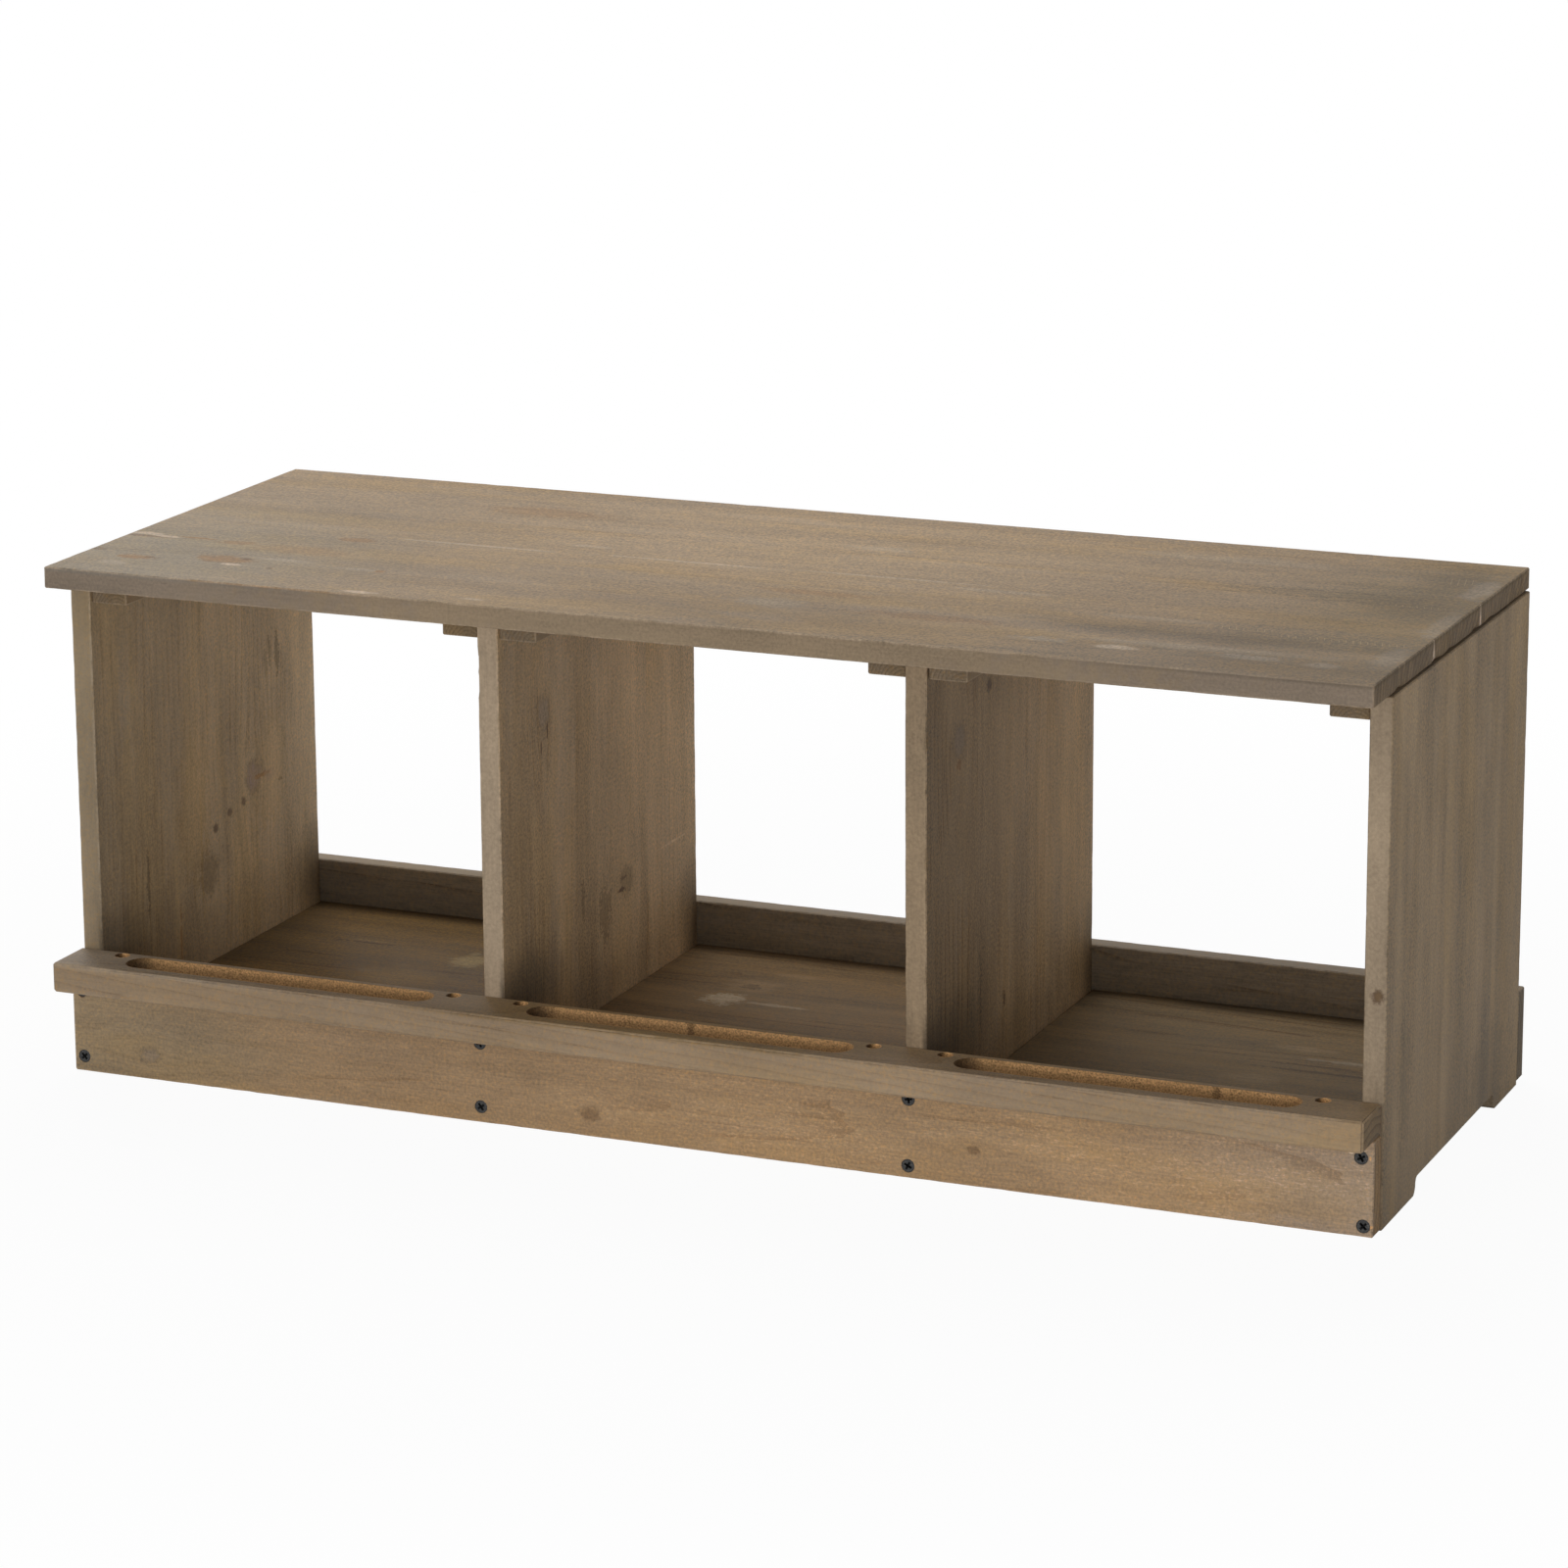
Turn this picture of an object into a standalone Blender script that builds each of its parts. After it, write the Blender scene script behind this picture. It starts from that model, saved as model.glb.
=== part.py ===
"""Chicken nesting box: a row of three open bays under one top panel, with a slotted perch rail.

Upright panels carry everything. A front board and a back rail are screwed across their edges,
a perch rail lies on the front board, and battens under the top hold it from below.
"""
import math

import bmesh
import bpy
from mathutils import Matrix, Vector

# Driving sizes, in metres. X runs along the row of bays, Y from front to back and Z upwards.
# Y is zero at the front edges of the upright panels, and Z is zero on the ground.
fit_gap = 0.0003
edge_round = 0.0008
weld_distance = 0.00001
cut_overrun = 0.002

# Upright panels: two sides and two dividers, all of one height and depth
panel_height = 0.352
panel_depth = 0.325
panel_thickness = 0.015
outer_bay_width = 0.2978
middle_bay_width = 0.2934

# Low arch between the feet of each side panel, rounded over at the foot and into the top
front_foot_length = 0.0675
rear_foot_length = 0.0535
foot_round = 0.008
arch_round = 0.0045
arc_steps = 6

# Top panel, which reaches past the uprights at the front and a little at the back
top_thickness = 0.015
top_front_overhang = 0.036
top_back_overhang = 0.005
top_left_inset = 0.001
top_right_inset = 0.002

# Front board and perch rail, both set a little to the left of the uprights
front_board_height = 0.0642
front_board_thickness = 0.015
front_shift = 0.0015
perch_depth = 0.0412
perch_thickness = 0.0212
perch_round = 0.0015

# Long round-ended slots through the perch rail, one in front of each bay
outer_slot_margin = 0.0309
middle_slot_margin = 0.0287
slot_width = 0.024
slot_back_margin = 0.0063
slot_inset = 0.0019
slot_end_steps = 10

# Back rail
back_rail_height = 0.065
back_rail_thickness = 0.015
back_rail_lift = 0.0028

# Floors and the cleats that carry their front and back edges
floor_top = 0.0349
floor_thickness = 0.015
cleat_depth = 0.020
cleat_lift = 0.0026

# Battens under the top, along both sides of each bay
batten_width = 0.027
batten_height = 0.017
batten_setback = 0.003

# Countersunk cross-head screws
head_diameter = 0.009
head_rim = 0.0005
head_height = 0.0032
shank_diameter = 0.004
tip_length = 0.004
long_screw_bite = 0.025
short_screw_bite_share = 0.7
recess_span = 0.0050
recess_width = 0.0012
recess_depth = 0.0018
screw_sides = 12
screw_turn = math.radians(37)

# Places of the screws
back_screw_shares = (0.15, 0.845)
perch_screw_reach = 0.011
counterbore_clearance = 0.0005
counterbore_depth = 0.009
batten_screw_shares = (0.2, 0.8)

# Where each front screw was driven by eye: its drift from the upright's middle as a share of the
# upright's thickness, and its height as a share of the front board's
front_lower_screws = ((-0.09, 0.168), (-0.27, 0.173), (0.03, 0.132), (-0.03, 0.114))
front_upper_screws = ((-0.1, 0.919), (-0.27, 0.88), (0.05, 0.85), (-0.18, 0.827))

# Finishes as base colour, roughness and metallic value
stained_top = ((0.150, 0.110, 0.070), 0.62, 0.0)
stained_upright = ((0.165, 0.125, 0.082), 0.62, 0.0)
stained_front = ((0.230, 0.165, 0.100), 0.66, 0.0)
stained_floor = ((0.175, 0.130, 0.085), 0.66, 0.0)
stained_batten = ((0.140, 0.100, 0.064), 0.66, 0.0)
black_steel = ((0.020, 0.021, 0.023), 0.40, 0.8)

# Sizes and places that follow from the driving sizes
body_width = 2 * outer_bay_width + middle_bay_width + 4 * panel_thickness
divider_x = middle_bay_width / 2 + panel_thickness / 2
side_x = body_width / 2 - panel_thickness / 2
panel_columns = (-side_x, -divider_x, divider_x, side_x)
top_underside = panel_height + fit_gap
perch_underside = front_board_height + fit_gap
perch_top = perch_underside + perch_thickness
long_screw_length = front_board_thickness + long_screw_bite
short_screw_length = batten_height + short_screw_bite_share * top_thickness
counterbore_diameter = head_diameter + 2 * counterbore_clearance
row_front = -fit_gap - max(perch_depth, front_board_thickness)
row_back = panel_depth + fit_gap + back_rail_thickness
row_left = -body_width / 2 - front_shift
row_right = body_width / 2
row_origin = Vector((-(row_left + row_right) / 2, -(row_front + row_back) / 2, 0))


def clear_scene():
    """Start from an empty scene."""
    for leftover in list(bpy.data.objects):
        bpy.data.objects.remove(leftover, do_unlink=True)


def new_collection(name, parent):
    """Add a collection below another one."""
    collection = bpy.data.collections.new(name)
    parent.children.link(collection)
    return collection


def add_object(name, mesh, collection, place=(0, 0, 0)):
    """Put a mesh in a collection, carried by the row's origin."""
    piece = bpy.data.objects.new(name, mesh)
    piece.location = place
    piece.parent = origin
    collection.objects.link(piece)
    return piece


def paint(piece, finish):
    """Give a piece its own material."""
    colour, roughness, metallic = finish
    material = bpy.data.materials.new(piece.name)
    material.use_nodes = True
    shader = material.node_tree.nodes["Principled BSDF"]
    shader.inputs["Base Color"].default_value = (*colour, 1)
    shader.inputs["Roughness"].default_value = roughness
    shader.inputs["Metallic"].default_value = metallic
    material.diffuse_color = (*colour, 1)
    piece.data.materials.append(material)


def board(name, lows, highs, finish, rounding=edge_round):
    """A sawn board between two corners, with its edges eased."""
    low = Vector(lows)
    size = Vector(highs) - low
    shape = bmesh.new()
    bmesh.ops.create_cube(shape, size=1, matrix=Matrix.Diagonal((*size, 1)))
    mesh = bpy.data.meshes.new(name)
    shape.to_mesh(mesh)
    shape.free()
    piece = add_object(name, mesh, pieces, low + size / 2)
    ease = piece.modifiers.new("eased edges", "BEVEL")
    ease.width = rounding
    ease.segments = 1
    paint(piece, finish)
    return piece


def cut(piece, cutter):
    """Take a cutter's shape out of a piece."""
    cutter.hide_render = True
    cutter.display_type = "WIRE"
    hole = piece.modifiers.new(cutter.name, "BOOLEAN")
    hole.operation = "DIFFERENCE"
    hole.object = cutter


def evaluated_mesh(name, source):
    """An object's mesh with its modifiers applied and its seams welded. The object is used up."""
    bpy.context.view_layer.update()
    mesh = bpy.data.meshes.new_from_object(source.evaluated_get(bpy.context.evaluated_depsgraph_get()))
    mesh.name = name
    shape = bmesh.new()
    shape.from_mesh(mesh)
    bmesh.ops.remove_doubles(shape, verts=shape.verts, dist=weld_distance)
    shape.to_mesh(mesh)
    shape.free()
    bpy.data.objects.remove(source, do_unlink=True)
    return mesh


def extruded_outline(name, points, thickness):
    """The mesh of a flat closed outline, extruded evenly to both sides of its plane."""
    curve = bpy.data.curves.new(name, "CURVE")
    curve.dimensions = "2D"
    curve.fill_mode = "BOTH"
    curve.extrude = thickness / 2
    spline = curve.splines.new("POLY")
    spline.points.add(len(points) - 1)
    for corner, (across, up) in zip(spline.points, points):
        corner.co = (across, up, 0, 1)
    spline.use_cyclic_u = True
    return evaluated_mesh(name, add_object(name, curve, cutters))


def turned(name, profile):
    """The mesh of a profile of radius and height pairs, top first, turned about Z."""
    mesh = bpy.data.meshes.new(name)
    corners = [(radius, 0, height) for radius, height in profile]
    edges = [(index, index + 1) for index in range(len(corners) - 1)]
    mesh.from_pydata(corners, edges, [])
    body = add_object(name, mesh, cutters)
    turn = body.modifiers.new("turned", "SCREW")
    turn.steps = screw_sides
    turn.render_steps = screw_sides
    turn.use_merge_vertices = True
    turn.merge_threshold = weld_distance
    return body


def arc(centre, radius, start, end, steps):
    """Points along an arc, from one angle to the other."""
    angles = [start + (end - start) * step / steps for step in range(steps + 1)]
    return [(centre[0] + radius * math.cos(angle), centre[1] + radius * math.sin(angle)) for angle in angles]


def foot_arch_points():
    """Outline of the arch under a side panel, as distances back and up."""
    front = front_foot_length
    back = panel_depth - rear_foot_length
    quarter = math.pi / 2
    reach = foot_round + arch_round
    points = [(front, -cut_overrun)]
    points += arc((front, foot_round), foot_round, -quarter, 0, arc_steps)
    points += arc((front + reach, foot_round), arch_round, 2 * quarter, quarter, arc_steps)
    points += arc((back - reach, foot_round), arch_round, quarter, 0, arc_steps)
    points += arc((back, foot_round), foot_round, 2 * quarter, 3 * quarter, arc_steps)
    points.append((back, -cut_overrun))
    return points


def drop_repeats(points):
    """The same outline without points that lie on their neighbour."""
    kept = []
    for point in points:
        if not kept or math.dist(point, kept[-1]) > weld_distance:
            kept.append(point)
    return kept


def add_foot_arch(panel, column):
    """Cut the low arch between the feet of a side panel."""
    thickness = panel_thickness + 2 * cut_overrun
    mesh = extruded_outline(panel.name + "_arch", drop_repeats(foot_arch_points()), thickness)
    cutter = add_object(panel.name + "_arch", mesh, cutters, (column, 0, 0))
    cutter.rotation_euler = (math.pi / 2, 0, math.pi / 2)
    cut(panel, cutter)


def add_slot(rail, bay_name, middle, length):
    """Cut one long round-ended slot through the perch rail."""
    radius = slot_width / 2
    straight = length / 2 - radius
    quarter = math.pi / 2
    points = arc((straight, 0), radius, -quarter, quarter, slot_end_steps)
    points += arc((-straight, 0), radius, quarter, 3 * quarter, slot_end_steps)
    mesh = extruded_outline(bay_name + "_slot", points, perch_thickness + 2 * cut_overrun)
    place = (middle, -fit_gap - slot_back_margin - radius, perch_underside + perch_thickness / 2)
    cut(rail, add_object(bay_name + "_slot", mesh, cutters, place))


def screw_mesh(name, length):
    """A countersunk screw below its own origin, with a cross recess in its head."""
    head = head_diameter / 2
    shank = shank_diameter / 2
    profile = [(0, 0), (head, 0), (head, -head_rim), (shank, -head_height)]
    profile += [(shank, tip_length - length), (0, -length)]
    body = turned(name, profile)
    long = recess_span / 2
    thin = recess_width / 2
    arm = [(long, -thin), (long, thin), (thin, thin)]
    points = []
    for quarter in range(4):
        turn = Matrix.Rotation(quarter * math.pi / 2, 2)
        points += [tuple(turn @ Vector(corner)) for corner in arm]
    recess = add_object(name + "_recess", extruded_outline(name + "_recess", points, 2 * recess_depth), cutters)
    cut(body, recess)
    mesh = evaluated_mesh(name, body)
    bpy.data.objects.remove(recess, do_unlink=True)
    mesh.shade_smooth()
    mesh.set_sharp_from_angle(angle=math.radians(30))
    return mesh


def hole_mesh(name, length, bore_diameter, bore_depth):
    """The hole that a screw sits in, with a bore over its head."""
    head = head_diameter / 2 + fit_gap
    shank = shank_diameter / 2 + fit_gap
    bore = bore_diameter / 2
    rise = bore_depth + cut_overrun
    profile = [(0, rise), (bore, rise), (bore, -head_rim), (head, -head_rim), (shank, -head_height)]
    profile += [(shank, tip_length - length), (0, -length - fit_gap)]
    return evaluated_mesh(name, turned(name, drop_repeats(profile)))


def add_screw(name, kind, head_place, towards, boards):
    """Drive a screw from a place on one board's face through it and into the next."""
    mesh, hole = kind
    turn = Matrix.Rotation(len(pieces.objects) * screw_turn, 3, "Z").to_quaternion()
    screw = add_object(name, mesh.copy(), pieces, head_place)
    cutter = add_object(name + "_hole", hole, cutters, head_place)
    for driven in (screw, cutter):
        driven.rotation_mode = "QUATERNION"
        driven.rotation_quaternion = Vector(towards).to_track_quat("-Z", "Y") @ turn
    paint(screw, black_steel)
    for piece in boards:
        cut(piece, cutter)


clear_scene()
origin = bpy.data.objects.new("row_origin", None)
origin.location = row_origin
bpy.context.scene.collection.objects.link(origin)
pieces = new_collection("chicken_nesting_box", bpy.context.scene.collection)
cutters = new_collection("cutters", bpy.context.scene.collection)

# Upright panels
panel_names = ("left_side_panel", "left_divider", "right_divider", "right_side_panel")
panels = []
for panel_name, column in zip(panel_names, panel_columns):
    lows = (column - panel_thickness / 2, 0, 0)
    highs = (column + panel_thickness / 2, panel_depth, panel_height)
    panels.append(board(panel_name, lows, highs, stained_upright))
add_foot_arch(panels[0], panel_columns[0])
add_foot_arch(panels[3], panel_columns[3])

# Top panel
top_panel = board(
    "top_panel",
    (-body_width / 2 + top_left_inset, -top_front_overhang, top_underside),
    (body_width / 2 - top_right_inset, panel_depth + top_back_overhang, top_underside + top_thickness),
    stained_top,
)

# Front board, perch rail and back rail
front_board = board(
    "front_board",
    (-body_width / 2 - front_shift, -fit_gap - front_board_thickness, 0),
    (body_width / 2 - front_shift, -fit_gap, front_board_height),
    stained_front,
)
perch_rail = board(
    "perch_rail",
    (-body_width / 2 - front_shift, -fit_gap - perch_depth, perch_underside),
    (body_width / 2 - front_shift, -fit_gap, perch_top),
    stained_front,
    perch_round,
)
back_rail = board(
    "back_rail",
    (-body_width / 2, panel_depth + fit_gap, back_rail_lift),
    (body_width / 2, panel_depth + fit_gap + back_rail_thickness, back_rail_lift + back_rail_height),
    stained_upright,
)

# Each bay has a floor on two cleats, and two battens under the top
bay_columns = list(zip(("left", "middle", "right"), panel_columns[:-1], panel_columns[1:]))
cleat_top = floor_top - floor_thickness - fit_gap
battens = []
for bay_name, left_column, right_column in bay_columns:
    left_wall = left_column + panel_thickness / 2 + fit_gap
    right_wall = right_column - panel_thickness / 2 - fit_gap
    floor_low = (left_wall, 0, floor_top - floor_thickness)
    board(bay_name + "_floor", floor_low, (right_wall, panel_depth, floor_top), stained_floor)
    for end_name, cleat_front in (("front", 0), ("back", panel_depth - cleat_depth)):
        cleat_low = (left_wall, cleat_front, cleat_lift)
        cleat_high = (right_wall, cleat_front + cleat_depth, cleat_top)
        board(bay_name + "_floor_" + end_name + "_cleat", cleat_low, cleat_high, stained_batten)
    for side_name, wall, inwards in (("left", left_wall, 1), ("right", right_wall, -1)):
        batten_edges = sorted((wall, wall + inwards * batten_width))
        batten_low = (batten_edges[0], batten_setback, panel_height - batten_height)
        batten_high = (batten_edges[1], panel_depth - batten_setback, panel_height)
        battens.append(board(bay_name + "_bay_" + side_name + "_batten", batten_low, batten_high, stained_batten))

# Screws of the front board and the back rail, two into each upright
flush_bore = head_diameter + 2 * fit_gap
long_screw = (
    screw_mesh("long_screw", long_screw_length),
    hole_mesh("long_screw_hole", long_screw_length, flush_bore, 0),
)
levels = (
    ("lower", front_lower_screws, back_screw_shares[0]),
    ("upper", front_upper_screws, back_screw_shares[1]),
)
for number, (panel, column) in enumerate(zip(panels, panel_columns), 1):
    for level, front_screws, back_share in levels:
        drift, front_share = front_screws[number - 1]
        front_x = column + drift * panel_thickness
        front_place = (front_x, -fit_gap - front_board_thickness, front_share * front_board_height)
        front_name = "front_screw_" + str(number) + "_" + level
        add_screw(front_name, long_screw, front_place, (0, 1, 0), (front_board, panel))
        back_z = back_rail_lift + back_share * back_rail_height
        back_place = (column, panel_depth + fit_gap + back_rail_thickness, back_z)
        back_name = "back_screw_" + str(number) + "_" + level
        add_screw(back_name, long_screw, back_place, (0, -1, 0), (back_rail, panel))

# A slot in the perch rail before each bay, and a screw sunk beside each of its ends into the front board
perch_screw = (
    long_screw[0],
    hole_mesh("perch_screw_hole", long_screw_length, counterbore_diameter, counterbore_depth),
)
perch_screw_y = -fit_gap - front_board_thickness / 2
slot_margins = (outer_slot_margin, middle_slot_margin, outer_slot_margin)
for order, (bay_name, left_column, right_column), margin in zip((-1, 0, 1), bay_columns, slot_margins):
    slot_middle = (left_column + right_column) / 2 - order * slot_inset - front_shift
    slot_length = right_column - left_column - panel_thickness - 2 * margin
    add_slot(perch_rail, bay_name, slot_middle, slot_length)
    for side_name, side in (("left", -1), ("right", 1)):
        screw_x = slot_middle + side * (slot_length / 2 + perch_screw_reach)
        screw_name = "perch_screw_" + bay_name + "_" + side_name
        screw_place = (screw_x, perch_screw_y, perch_top - counterbore_depth)
        add_screw(screw_name, perch_screw, screw_place, (0, 0, -1), (perch_rail, front_board))

# Short screws up through the battens into the top
short_screw = (
    screw_mesh("short_screw", short_screw_length),
    hole_mesh("short_screw_hole", short_screw_length, flush_bore, 0),
)
for batten in battens:
    for number, share in enumerate(batten_screw_shares, 1):
        place = (batten.location.x, share * panel_depth, panel_height - batten_height)
        add_screw(batten.name + "_screw_" + str(number), short_screw, place, (0, 0, 1), (batten, top_panel))
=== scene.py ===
"""Chicken nesting box with three bays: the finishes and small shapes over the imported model."""

import math

import bmesh
import bpy
from mathutils import Matrix, Vector, noise


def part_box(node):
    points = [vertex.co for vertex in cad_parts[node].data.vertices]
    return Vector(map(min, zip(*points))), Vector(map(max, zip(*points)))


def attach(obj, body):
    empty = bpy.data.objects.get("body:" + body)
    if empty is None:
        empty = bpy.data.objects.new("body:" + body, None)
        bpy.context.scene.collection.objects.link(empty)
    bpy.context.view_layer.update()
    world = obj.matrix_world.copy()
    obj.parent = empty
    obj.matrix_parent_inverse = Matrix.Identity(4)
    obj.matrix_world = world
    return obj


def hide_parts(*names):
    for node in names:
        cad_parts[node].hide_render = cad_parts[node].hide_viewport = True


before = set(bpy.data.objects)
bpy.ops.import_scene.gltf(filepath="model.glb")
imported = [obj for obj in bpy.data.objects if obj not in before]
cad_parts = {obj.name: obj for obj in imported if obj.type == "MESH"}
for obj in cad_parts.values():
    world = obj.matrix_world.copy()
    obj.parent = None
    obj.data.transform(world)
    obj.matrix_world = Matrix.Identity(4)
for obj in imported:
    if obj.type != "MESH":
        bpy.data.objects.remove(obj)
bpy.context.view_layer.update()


# The camera stands to the right of the box and a little above it, with a long lens.
# The box sits low in the picture, so the lens is shifted down by 100 of its 1600 pixels.
picture_width, focal_pixels, shift_pixels = 1600, 5409.0, 100
camera_place = (1.377437, -3.255719, 1.142536)
camera_right = Vector((0.92143744, 0.38847825, -0.00613934))
camera_up = Vector((-0.0862749, 0.21999271, 0.97167888))

camera = bpy.data.objects.new("photo_camera", bpy.data.cameras.new("photo_camera"))
bpy.context.scene.collection.objects.link(camera)
bpy.context.scene.camera = camera
camera.data.sensor_width = 36
camera.data.lens = focal_pixels / picture_width * camera.data.sensor_width
camera.data.shift_y = -shift_pixels / picture_width
camera.data.clip_end = 60
camera.matrix_world = Matrix.Translation(camera_place) @ Matrix(
    (camera_right, camera_up, camera_right.cross(camera_up))).transposed().to_4x4()
bpy.context.scene.view_settings.view_transform = "Standard"


# The studio: a white sweep under and behind the box, with the light of a white room all
# round it. Large soft lamps stand over it to the rear, low and high in front of it, and at
# its right front and left rear corners.
class Wire:
    """One socket of a material's nodes, so that layers of colour and grain read as sums."""

    def __init__(self, tree, socket):
        self.tree, self.socket = tree, socket

    def node(self, kind, settings=None, sockets=None, output=0):
        made = self.tree.nodes.new(kind)
        for name, setting in (settings or {}).items():
            setattr(made, name, setting)
        for name, value in (sockets or {}).items():
            if isinstance(value, Wire):
                self.tree.links.new(value.socket, made.inputs[name])
            else:
                made.inputs[name].default_value = value
        return Wire(self.tree, made.outputs[output] if made.outputs else None)

    def math(self, operation, *others):
        return self.node("ShaderNodeMath", {"operation": operation}, dict(enumerate((self, *others))))

    def __add__(self, other):
        return self.math("ADD", other)

    __radd__ = __add__

    def __mul__(self, other):
        return self.math("MULTIPLY", other)

    __rmul__ = __mul__

    def __sub__(self, other):
        return self.math("SUBTRACT", other)

    def __rsub__(self, other):
        return self.node("ShaderNodeMath", {"operation": "SUBTRACT"}, {0: other, 1: self})

    def __truediv__(self, other):
        return self.math("DIVIDE", other)

    def __pow__(self, other):
        return self.math("POWER", other)

    def __abs__(self):
        return self.math("ABSOLUTE")

    def parts(self):
        """The X, Y and Z of a vector."""
        made = self.tree.nodes.new("ShaderNodeSeparateXYZ")
        self.tree.links.new(self.socket, made.inputs[0])
        return [Wire(self.tree, part) for part in made.outputs]

    def noise(self, scale, detail=3, roughness=0.5):
        """Soft noise at this place, from about -0.5 to 0.5."""
        return self.node("ShaderNodeTexNoise", None, {
            "Vector": self, "Scale": scale, "Detail": detail, "Roughness": roughness}) - 0.5

    def between(self, low, high):
        """0 at low, 1 at high, with a soft start and end."""
        return self.node("ShaderNodeMapRange", {"interpolation_type": "SMOOTHSTEP"},
                         {"Value": self, "From Min": low, "From Max": high})

    def over(self, paint, amount):
        """This colour with paint laid over it."""
        return self.node("ShaderNodeMix", {"data_type": "RGBA"}, {0: amount, 6: self, 7: paint}, 2)


def daylight(red, green, blue):
    """A colour read off the picture, 0 to 255, as the light it stands for."""
    return tuple((value / 255) ** 2.2 for value in (red, green, blue)) + (1,)


def seen_directly(tree):
    """1 for what the eye sees, straight, in a gloss or through glass, and 0 for light on things."""
    path = tree.nodes.new("ShaderNodeLightPath")
    camera_ray, glossy_ray, clear_ray = (
        Wire(tree, path.outputs[name])
        for name in ("Is Camera Ray", "Is Glossy Ray", "Is Transmission Ray"))
    return camera_ray.math("MAXIMUM", glossy_ray).math("MAXIMUM", clear_ray)


room_light = 0.19
world = bpy.data.worlds.new("white_room")
bpy.context.scene.world = world
world.use_nodes = True
world.node_tree.nodes.clear()
seen = seen_directly(world.node_tree)
lit = seen.node("ShaderNodeBackground", None, {"Color": (1, 1, 1, 1), "Strength": room_light})
backdrop = seen.node("ShaderNodeBackground", None, {"Color": (1, 1, 1, 1), "Strength": 1})
seen.node("ShaderNodeOutputWorld", None, {
    "Surface": seen.node("ShaderNodeMixShader", None, {0: seen, 1: lit, 2: backdrop})})

floor_radius = 9
disc = bmesh.new()
bmesh.ops.create_circle(disc, cap_ends=True, segments=96, radius=floor_radius)
floor = bpy.data.objects.new("white_floor", bpy.data.meshes.new("white_floor"))
disc.to_mesh(floor.data)
disc.free()
bpy.context.scene.collection.objects.link(floor)

# The floor glows white to the eye, and keeps a little of the box's shadow near it.
paper = bpy.data.materials.new("white_paper")
paper.use_nodes = True
paper.node_tree.nodes.clear()
seen = seen_directly(paper.node_tree)
floor_place = Wire(paper.node_tree, paper.node_tree.nodes.new("ShaderNodeTexCoord").outputs["Object"])
distance = floor_place.node("ShaderNodeVectorMath", {"operation": "LENGTH"}, {0: floor_place}, 1)
matt = seen.node("ShaderNodeBsdfDiffuse", None, {"Color": (0.9, 0.9, 0.9, 1)})
glow = seen.node("ShaderNodeEmission", None, {"Color": (1, 1, 1, 1), "Strength": 1})
shadow_share, shadow_near, shadow_far = 0.05, 0.5, 1.4
white_share = seen * (1 - shadow_share + shadow_share * distance.between(shadow_near, shadow_far))
seen.node("ShaderNodeOutputMaterial", None, {
    "Surface": seen.node("ShaderNodeMixShader", None, {0: white_share, 1: matt, 2: glow})})
floor.data.materials.append(paper)


def soft_lamp(name, place, aim, size, power):
    """A round lamp turned to its aim, size in metres and power in watts."""
    lamp = bpy.data.objects.new(name, bpy.data.lights.new(name, "AREA"))
    lamp.data.shape, lamp.data.size, lamp.data.energy = "DISK", size, power
    bpy.context.scene.collection.objects.link(lamp)
    turned = (Vector(aim) - Vector(place)).to_track_quat("-Z", "Y").to_matrix().to_4x4()
    lamp.matrix_world = Matrix.Translation(place) @ turned


soft_lamp("overhead_rear", (-0.5, 1.0, 2.6), (0, 0, 0.3), 1.8, 31)
soft_lamp("front_low", (-0.6, -3.2, 0.6), (0, 0, 0.15), 1.6, 19)
soft_lamp("front_high", (-0.8, -2.0, 2.6), (0, 0, 0.2), 1.2, 9)
soft_lamp("front_right", (2.2, -2.6, 0.5), (0, 0, 0.15), 1.6, 22)
soft_lamp("rear_left", (-2.6, 2.6, 0.9), (0, 0, 0.15), 1.6, 22)


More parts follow.
